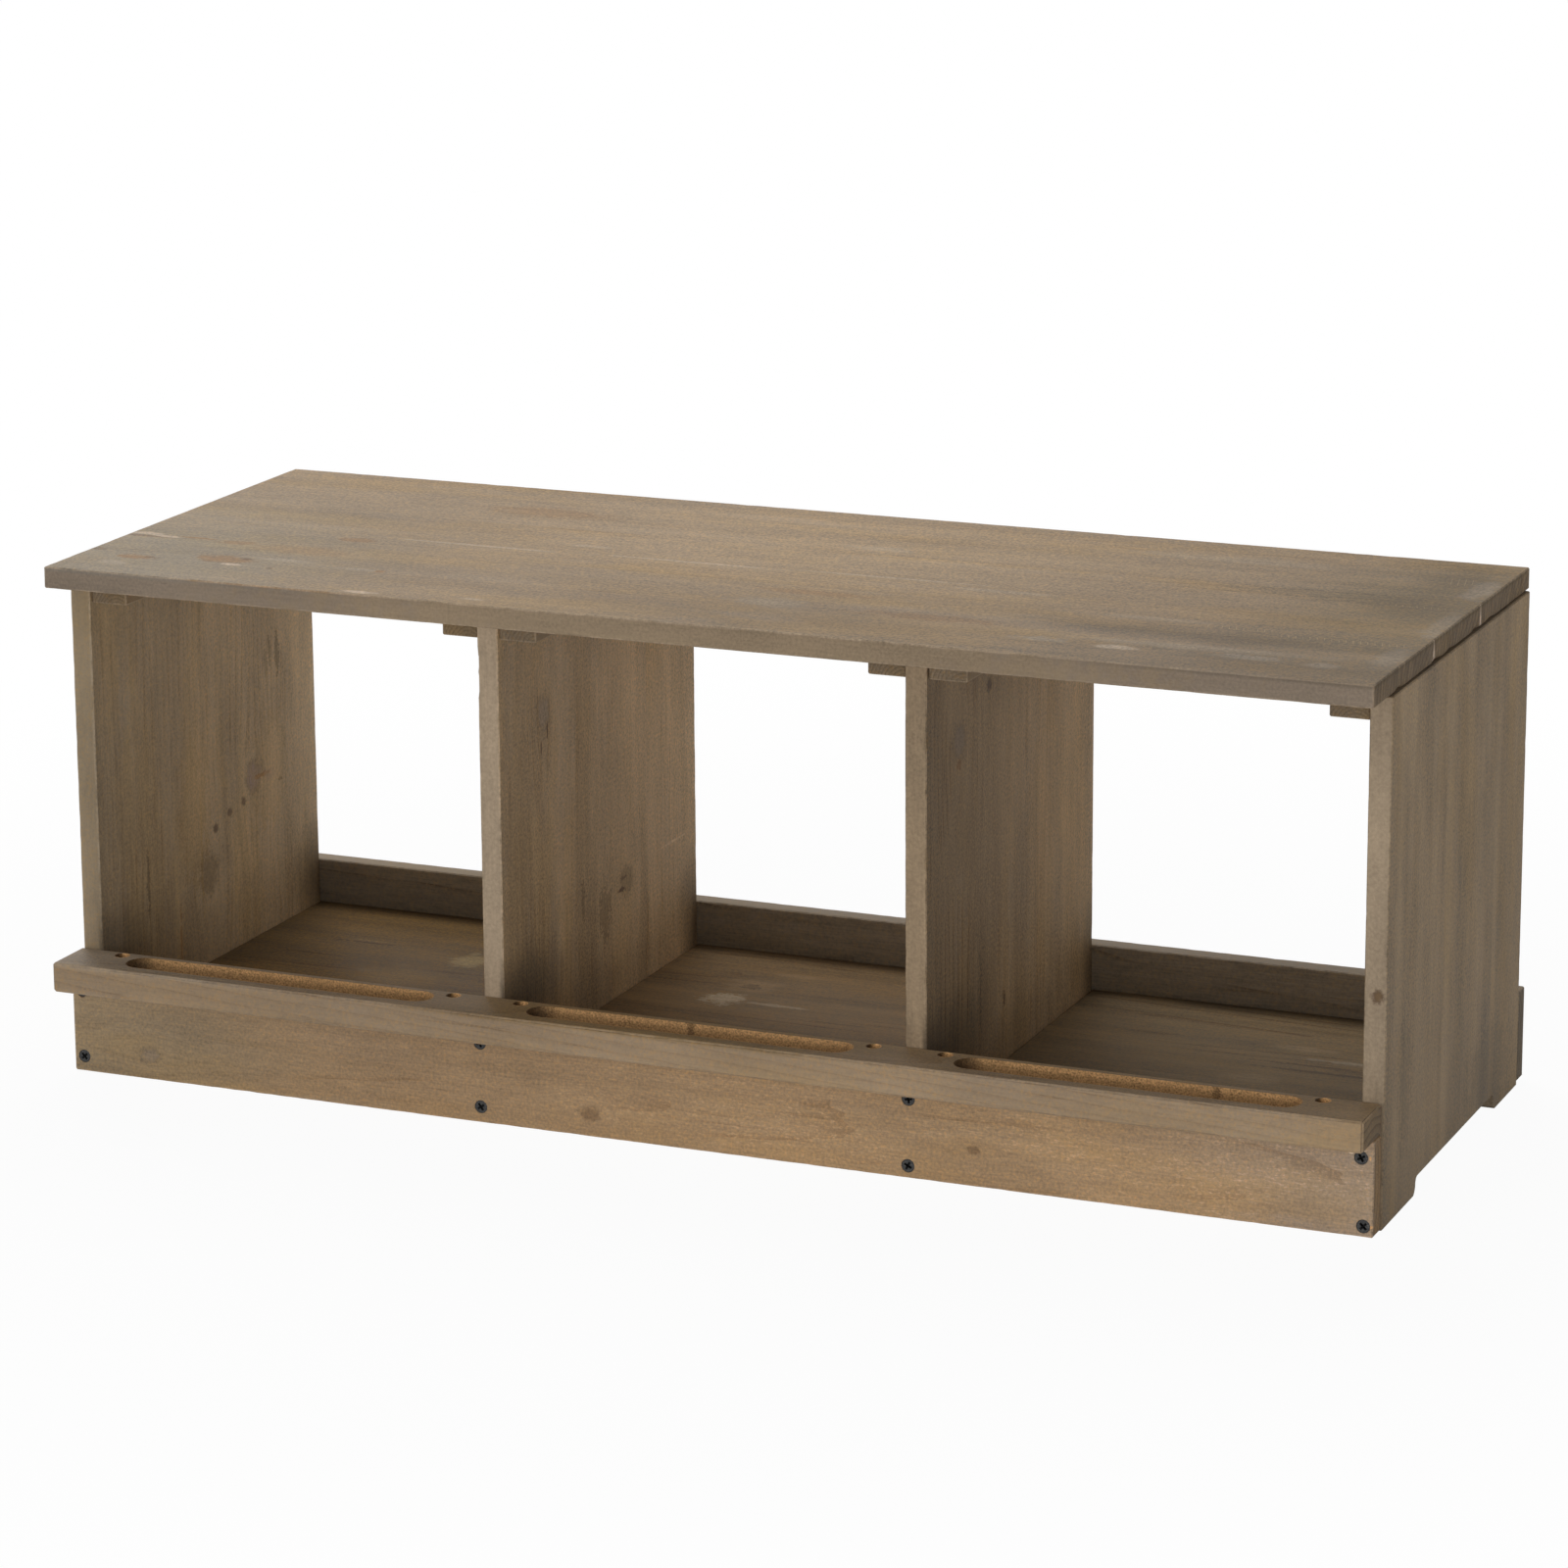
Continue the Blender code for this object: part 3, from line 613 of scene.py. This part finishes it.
def raw_slots(board, colour, tone, height):
    """Bare wood on the walls of the slots and holes."""
    x, y, z = board.place.parts()
    # The three slots are a step apart, so one is worked out and repeated.
    local = (x - slot_middle).math("WRAP", slot_step / 2, -slot_step / 2)
    beyond = (abs(local) - slot_straight).math("MAXIMUM", 0)
    slot_gap = (beyond ** 2 + (y - slot_y) ** 2) ** 0.5 - slot_radius
    hole_gap = ((abs(local) - hole_offset) ** 2 + (y - hole_y) ** 2) ** 0.5 - hole_radius
    torn = board.place.noise(800)
    bare = 1 - (slot_gap.math("MINIMUM", hole_gap) + torn * ragged).between(*raw_reach)
    colour = colour.over(board.shade(*raw_wood), bare)
    # The light comes in from the right, so the left end of each slot and hole is dark, and so
    # is the lower part of a slot's walls.
    in_hole = abs(local).math("GREATER_THAN", hole_offset - hole_radius - hole_margin)
    from_hole = local - local.math("SIGN") * hole_offset
    slot_light = 0.2 + 0.88 * (local + slot_straight).between(*slot_dusk)
    slot_light = slot_light * (0.78 + 0.24 * (z + torn * 0.002).between(*slot_rise))
    hole_light = 0.2 + 1.5 * from_hole.between(*hole_dusk)
    wall_tone = (slot_light * (1 - in_hole) + hole_light * in_hole) * (1 + torn * 2.4)
    # The router cut through two knots.
    for knot_x in cut_knots:
        knot_gap = abs(x - knot_x) + torn * cut_knot_ragged
        wall_tone = wall_tone * (0.5 + 0.5 * knot_gap.between(*cut_knot_reach))
    return colour, tone * (1 - bare) + wall_tone * bare, height * (1 - bare) + torn * bare * 2.5


perch_front, perch_top, sliver = -0.1909, 0.0857, 0.0014
worn_board("perch_plank", "perch_rail", "xyz", stained_fir(
    "perch_stain", ["perch_rail"], "xyz", body=(166, 144, 118), seed=11.0,
    lines=0.32, edge_lines=0.8, taper=0.06, bands=0.4, grit=1.2, warmth=0.7,
    lined=[(-0.25, -0.19, 0.3, 0.03), (0.2, -0.19, 0.3, 0.03)],
    # Painted light and shade: the top face darker, as under the top's overhang, the front face lighter, and
    # the edges darker toward the left end.
    painted_face_light=(1, 0.86), painted_edge_light=(1.07, 1), painted_edge_slope=(0.93, 1.02), end_tone=0.5, more=raw_slots,
    # Painted shade: a darker, browner tint over the middle of the top face; a greyer, paler tint at its left
    # end.
    marked_face=perch_top, painted_shade_and_tints=[
        (-0.02, -0.171, 0.26, 0.05, (0.76, 0.69, 0.48)), (-0.44, -0.171, 0.2, 0.05, (1.06, 1.16, 1.34))],
    chips=[((-0.384, perch_front, perch_top), (0.012, sliver, sliver), (1.3, 1.3, 1.3), 0.8),
           ((0.199, perch_front, perch_top), (0.007, sliver, sliver), (1.4, 1.25, 1.1), 0.8)]))


# Six battens under the top, one along each face of the uprights, with small screws up
# through them, hold it down. Their front ends show end grain.
battens = ("left_bay_left", "left_bay_right", "middle_bay_left", "middle_bay_right", "right_bay_left",
           "right_bay_right")
for number, batten in enumerate(battens):
    worn_board(batten + "_batten_strip", batten + "_batten", "yxz", stained_fir(
        batten + "_batten_stain", [batten + "_batten"], "yxz", body=(152, 132, 107), seed=12.0 + number,
        pith=(0.012, -0.02), spacing=0.0025, lines=0.8, end_tone=0.72), step=coarse_step)


# The screws are black drywall screws with a cross recess, driven flush. They are coated
# steel, a little worn on the heads, and each is set in with its cross at its own turn.
def soot(name, grey):
    """The black coat, worn paler in specks."""
    material = bpy.data.materials.new(name)
    material.use_nodes = True
    tree = material.node_tree
    shader = tree.nodes["Principled BSDF"]
    place = Wire(tree, tree.nodes.new("ShaderNodeTexCoord").outputs["Object"])
    grit = place.node("ShaderNodeTexNoise", None, {"Vector": place, "Scale": 900, "Detail": 3})
    colour = place.node("ShaderNodeRGB")
    colour.socket.default_value = daylight(grey, grey, grey)
    colour = colour.over(daylight(grey * 1.9, grey * 1.88, grey * 1.8), grit.between(0.5, 0.75) * 0.6)
    tree.links.new(colour.socket, shader.inputs["Base Color"])
    tree.links.new((0.42 + grit * 0.3).socket, shader.inputs["Roughness"])
    shader.inputs["Metallic"].default_value = 0.55
    bump = grit.node("ShaderNodeBump", None, {"Height": grit, "Strength": 0.3, "Distance": 0.0001})
    tree.links.new(bump.socket, shader.inputs["Normal"])
    return material


# The second coat is far blacker: painted shade for the walls of the cross recess.
black_phosphate, painted_recess_shade = soot("black_phosphate", 56), soot("painted_recess_shade", 12)
head_radius, head_rim, rim_bevel, rim_drop = 0.0045, 0.0004, 0.0003, 0.0002
neck_depth, shank_radius, tip_length, spin_steps = 0.0032, 0.002, 0.004, 32
recess_span, recess_width, recess_depth = 0.0058, 0.0016, 0.0024
foot_span_share, foot_width_share, clear_of_face, seam_weld = 0.3, 0.5, 0.0001, 0.000001


def screw_blank(length):
    """One screw standing on its point, with its head's face at the origin."""
    shape = bmesh.new()
    rows = ((0, 0), (head_radius - rim_bevel, 0), (head_radius, -rim_drop), (head_radius, -head_rim),
            (shank_radius, -neck_depth), (shank_radius, tip_length - length), (0, -length))
    points = [shape.verts.new((radius, 0, depth)) for radius, depth in rows]
    edges = [shape.edges.new(pair) for pair in zip(points, points[1:])]
    bmesh.ops.spin(shape, geom=points + edges, axis=(0, 0, 1), cent=(0, 0, 0), angle=2 * math.pi,
                   steps=spin_steps, use_merge=True)
    bmesh.ops.remove_doubles(shape, verts=shape.verts, dist=seam_weld)
    bmesh.ops.recalc_face_normals(shape, faces=shape.faces)
    screw = bpy.data.objects.new("blank", bpy.data.meshes.new("blank"))
    shape.to_mesh(screw.data)
    shape.free()

    # The cross recess is cut by two blades that taper to a foot, and stand as far above the
    # head's face as they reach below it. Their span and width are those at the face.
    blades = bmesh.new()
    for half_turn in (0, math.pi / 2):
        blade = bmesh.ops.create_cube(blades, size=1)["verts"]
        bmesh.ops.scale(blades, vec=(recess_span, recess_width, recess_depth * 2), verts=blade)
        for vertex in blade:
            if vertex.co.z < 0:
                vertex.co.x *= foot_span_share
                vertex.co.y *= foot_width_share
            else:
                vertex.co.x *= 2 - foot_span_share
                vertex.co.y *= 2 - foot_width_share
        bmesh.ops.rotate(blades, verts=blade, cent=(0, 0, 0), matrix=Matrix.Rotation(half_turn, 3, "Z"))
    bit = bpy.data.objects.new("bit", bpy.data.meshes.new("bit"))
    blades.to_mesh(bit.data)
    blades.free()
    for part in (screw, bit):
        bpy.context.scene.collection.objects.link(part)
    sunk = screw.modifiers.new("recess", "BOOLEAN")
    sunk.object, sunk.operation, sunk.solver, sunk.use_self = bit, "DIFFERENCE", "EXACT", True
    finished = bpy.data.meshes.new_from_object(screw.evaluated_get(bpy.context.evaluated_depsgraph_get()))
    for part in (screw, bit):
        bpy.data.objects.remove(part)

    # The walls of the recess take a far blacker copy of the coat: painted shade in the recess.
    finished.materials.clear()
    finished.materials.append(black_phosphate)
    finished.materials.append(painted_recess_shade)
    for face in finished.polygons:
        in_recess = -recess_depth - clear_of_face < face.center.z < -clear_of_face
        if in_recess and math.hypot(face.center.x, face.center.y) < recess_span / 2:
            face.material_index = 1
    return finished


# Screws of one length are made from one blank.
blanks = {}


def drive_screw(node, way, turn):
    """Drives a screw where the solid's is, with its head facing way along its own axis."""
    low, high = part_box(node)
    axis = max(range(3), key=lambda k: high[k] - low[k])
    length = round(high[axis] - low[axis], 5)
    if length not in blanks:
        blanks[length] = screw_blank(length)
    centre, head = (low + high) / 2, Vector((0, 0, 0))
    centre[axis], head[axis] = high[axis] if way > 0 else low[axis], way
    screw = bpy.data.objects.new(node + "_fitted", blanks[length].copy())
    upright = head.to_track_quat("Z", "Y").to_matrix().to_4x4()
    screw.data.transform(Matrix.Translation(centre) @ upright @ Matrix.Rotation(turn, 4, "Z"))
    bpy.context.scene.collection.objects.link(screw)
    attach(screw, "root")
    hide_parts(node)


# Each cross stopped at its own turn, in radians; the rear screws take the same turns in reverse.
turns = (0.72, 0.95, 0.6, 0.35, 1.1, 0.15, 0.8, 0.5)
perch_turn, batten_turn = 0.4, 0.9
for column in range(1, 5):
    for level, row in (("lower", 0), ("upper", 1)):
        drive_screw("front_screw_%d_%s" % (column, level), -1, turns[column * 2 - 2 + row])
        drive_screw("back_screw_%d_%s" % (column, level), 1, turns[-(column * 2 - 1 + row)])
for bay in ("left", "middle", "right"):
    for end in ("left", "right"):
        drive_screw("perch_screw_%s_%s" % (bay, end), 1, perch_turn)
        for number in (1, 2):
            drive_screw("%s_bay_%s_batten_screw_%d" % (bay, end, number), -1, batten_turn)


# The top is one wide board of three glued staves, screwed down from below, so its face is
# clean. Its planed face carries old tool marks, and its right end was sawn rough.
# The pale scuff colour also paints the highlight along the front arris.
haze, cream, scuff_and_highlight, orange = (1.07, 1.1, 1.14), (1.16, 1.2, 1.26), (1.34, 1.38, 1.46), (0.95, 0.81, 0.62)
split_edge, smoke, glue_white = (0.7, 0.6, 0.5), (0.8, 0.8, 0.77), (1.9, 1.95, 2.1)
joints, glue_widths, saw_reach, saw_nick_reach = (-0.052, 0.058), (0.0024, 0.0018), 0.0006, 0.009
top_right, top_front, top_under, top_face = 0.47325, -0.1854, 0.3523, 0.3673
tick_pitch, tick_pale, score_waves = 0.0048, (1.36, 1.38, 1.34), (1, 420, 60)


def sawn_end_and_ticks(board, colour, tone, height):
    """The tool marks: the planer's on the face and the saw's on the right end."""
    x, y, z = board.place.parts()
    # Planer chatter shows as rows of ticks across the grain.
    for centre_x, centre_y, half_x, half_y, lean in (
            (0.346, -0.067, 0.025, 0.0035, 0.3), (0.422, -0.077, 0.045, 0.004, 0.3),
            (0.44, 0.035, 0.022, 0.003, 0.3), (0.443, 0.117, 0.009, 0.011, 0.2)):
        in_row = 1 - (abs(x - centre_x) / half_x).between(0.9, 1.0)
        in_row = in_row * (1 - (abs(y - centre_y) / half_y).between(0.8, 1.0))
        tick = ((x + (y - centre_y) * lean) / tick_pitch).math("FRACT").between(0.86, 0.97)
        colour = colour.over(board.shade(*tick_pale), in_row * tick * 0.8)
    # The saw left upright scores on the right end, and glue has run down from the joints.
    sawn = x.math("GREATER_THAN", top_right - saw_reach)
    at = board.place.node("ShaderNodeMapping", None, {"Vector": board.place, "Scale": score_waves})
    scores = at.noise(1)
    tone = tone * (1 + sawn * scores * 1.6)
    height = height + sawn * scores * 2
    for joint, width in zip(joints, glue_widths):
        run_width = (top_face - z) * width / (top_face - top_under)
        glue = 1 - (abs(y - joint) - run_width + scores * 0.001).between(0.0002, 0.001)
        colour = colour.over(board.shade(*glue_white), glue * sawn * 0.85)
    return colour, tone, height


saw_nicks = [((top_right, across, top_under), saw_nick_reach, deepest) for across, deepest in (
    (-0.13, 0.0012), (-0.045, 0.0016), (-0.012, 0.001), (0.047, 0.0014), (0.083, 0.0008))]
worn_board("top_board", "top_panel", "xyz", stained_fir(
    "top_stain", ["top_panel"], "xyz", body=(153, 133, 109), seed=19.0,
    staves=[(joints[0], -0.11), (joints[1], -0.11)],
    # Painted light and shade: darker toward the right end and the front, with a darker front edge.
    lines=0.6, bands=0.45, clouds=0.45, grit=2.0, painted_slope_along=(1.02, 0.92), cross=(0.96, 1.02),
    painted_edge_light=(0.83, 1), painted_edge_slope=(1.0, 0.99), edge_cool=0.06, wear=0.6, more=sawn_end_and_ticks,
    # Painted light and shade: lighter over the middle, darker toward the right end and along the front; a
    # darker band and darker patches near the right end; and tints, greyer at the left and yellower at the
    # right.
    marked_face=top_face, painted_shade_and_tints=[
        (0.0, 0.06, 0.34, 0.18, 1.28), (0.46, 0.03, 0.2, 0.3, 0.74), (0.34, -0.098, 0.22, 0.03, 0.6),
        (0.441, 0.111, 0.045, 0.05, 0.68), (0.445, 0.034, 0.06, 0.05, 0.8), (0.4, -0.165, 0.22, 0.06, 0.66),
        (0.06, -0.14, 0.26, 0.06, 0.8), (-0.42, -0.12, 0.22, 0.24, (0.9, 0.99, 1.08)),
        (0.46, 0.03, 0.14, 0.3, (0.96, 0.96, 0.86))],
    marks=[
        (-0.46, -0.062, 0.016, 0.005, scuff_and_highlight, 0.8), (-0.455, -0.0705, 0.026, 0.003, split_edge, 0.7),
        (-0.441, -0.067, 0.013, 0.004, scuff_and_highlight, 0.8), (-0.42, -0.064, 0.02, 0.003, orange, 0.8),
        (-0.466, -0.12, 0.007, 0.005, split_edge, 0.5), (-0.43, -0.134, 0.018, 0.007, orange, 0.8),
        (-0.42, -0.132, 0.007, 0.003, split_edge, 0.8), (-0.435, -0.155, 0.014, 0.007, cream, 0.6),
        (-0.386, -0.068, 0.017, 0.008, orange, 0.5), (-0.369, -0.119, 0.027, 0.013, orange, 0.75),
        (-0.354, -0.113, 0.007, 0.004, split_edge, 0.8), (-0.354, -0.132, 0.012, 0.0035, scuff_and_highlight, 0.9),
        (-0.33, -0.107, 0.036, 0.006, haze, 1.0), (-0.333, -0.075, 0.045, 0.016, orange, 0.3),
        (-0.3245, -0.134, 0.004, 0.003, split_edge, 0.6), (-0.265, -0.115, 0.02, 0.004, haze, 0.8),
        (-0.25, -0.116, 0.005, 0.004, orange, 0.8), (-0.234, -0.178, 0.015, 0.005, scuff_and_highlight, 0.7),
        (-0.313, -0.03, 0.018, 0.008, orange, 0.6), (-0.154, -0.17, 0.012, 0.004, cream, 0.6),
        (-0.22, -0.0155, 0.09, 0.0024, cream, 0.7), (-0.07, -0.011, 0.09, 0.0026, cream, 0.7),
        (0.08, -0.0075, 0.09, 0.0024, cream, 0.6), (-0.225, 0.103, 0.06, 0.018, orange, 0.35),
        (-0.15, 0.01, 0.02, 0.005, cream, 0.4), (0.034, -0.106, 0.035, 0.018, haze, 0.7),
        (0.05, -0.07, 0.06, 0.008, orange, 0.4), (0.043, 0.075, 0.03, 0.008, haze, 0.6),
        (0.17, -0.02, 0.05, 0.006, haze, 0.6), (0.15, -0.11, 0.06, 0.012, orange, 0.4),
        (0.238, -0.141, 0.024, 0.008, haze, 1.0), (0.291, -0.146, 0.02, 0.008, scuff_and_highlight, 0.8),
        (0.313, -0.131, 0.016, 0.014, smoke, 0.6), (0.378, -0.141, 0.032, 0.009, cream, 1.0),
        (0.428, -0.147, 0.014, 0.008, cream, 0.8), (0.35, -0.128, 0.1, 0.01, haze, 0.8),
        (0.289, -0.06, 0.05, 0.006, haze, 0.5), (0.37, 0.05, 0.09, 0.014, smoke, 0.5),
        (0.28, 0.13, 0.1, 0.012, haze, 0.5), (0.462, 0.1, 0.012, 0.05, haze, 1.0),
        (0.466, -0.01, 0.01, 0.05, cream, 0.6), (0.462, -0.11, 0.012, 0.04, haze, 0.9)],
    # Chips on the front arris: a pale chip at the left, a painted highlight along the arris at the right, and
    # painted light over the middle of the front edge.
    chips=[((-0.29, top_front, top_face), (0.1, 0.0014, 0.0014), (1.16, 1.02, 0.84), 0.8),
           ((0.36, top_front, top_face), (0.16, 0.0012, 0.0012), scuff_and_highlight, 0.8),
           ((0.02, top_front, 0.36), (0.4, 0.006, 0.03), (1.1, 1.1, 1.08), 0.8)]),
    rub=0.0002, step=0.008, end_step=0.008, nicks=saw_nicks)
